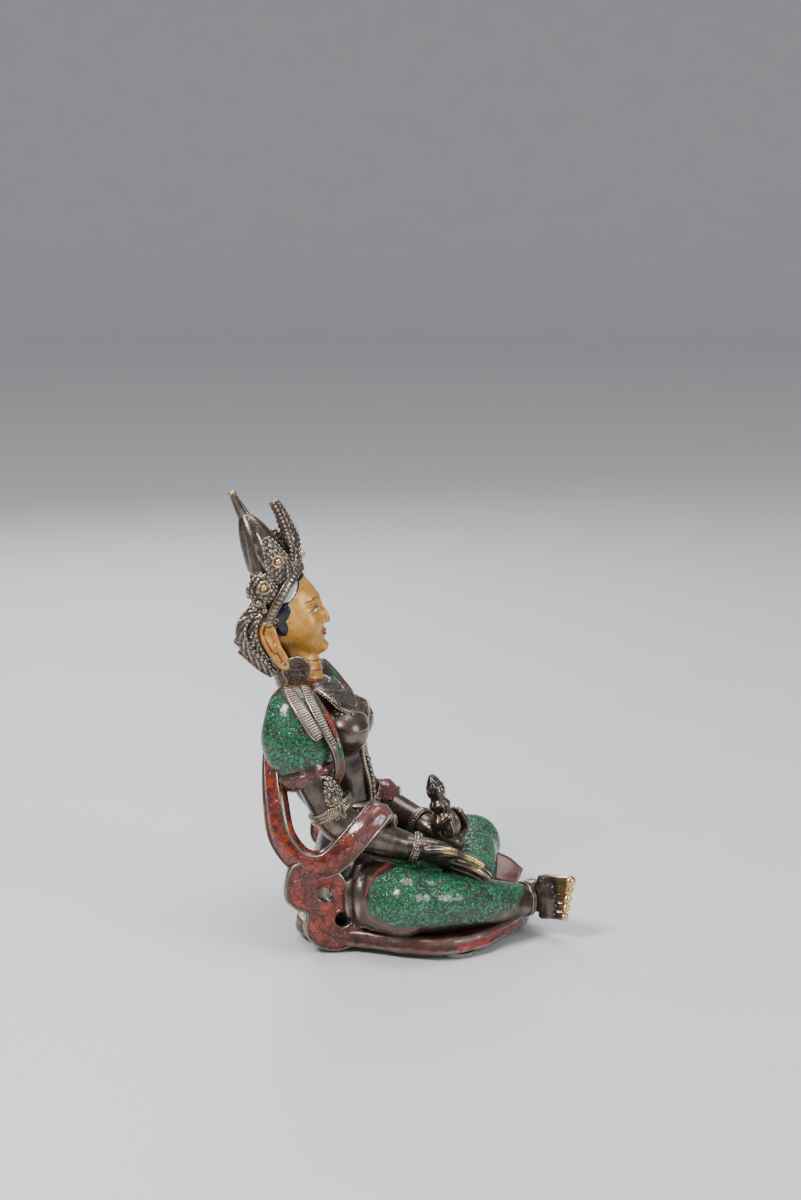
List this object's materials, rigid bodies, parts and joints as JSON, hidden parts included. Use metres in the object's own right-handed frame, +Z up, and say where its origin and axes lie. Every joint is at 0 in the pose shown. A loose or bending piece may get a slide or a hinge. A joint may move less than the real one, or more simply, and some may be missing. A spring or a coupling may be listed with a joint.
{
  "type": "tara figure",
  "caption": "Seated female deity figure of cast and inlaid metal, with a tall crown, a looped scarf, a lotus bud in one hand and a low cushion base.",
  "frame": {"origin": "centre of the base plate's flat underside, on the figure's middle plane, on the surface that it stands on", "axes": "+Z up; the figure faces -Y; its right hand is on the -X side"},
  "size_m": [0.1248, 0.153, 0.1935],
  "materials": {
    "bronze": "dark patinated cast brass, inlaid with green and red stone chips, with a painted face",
    "plate": "dull beaten sheet, washed with red"
  },
  "bodies": {
    "root": {"tara_figure": "bronze", "base_plate": "plate"}
  },
  "joints": []
}
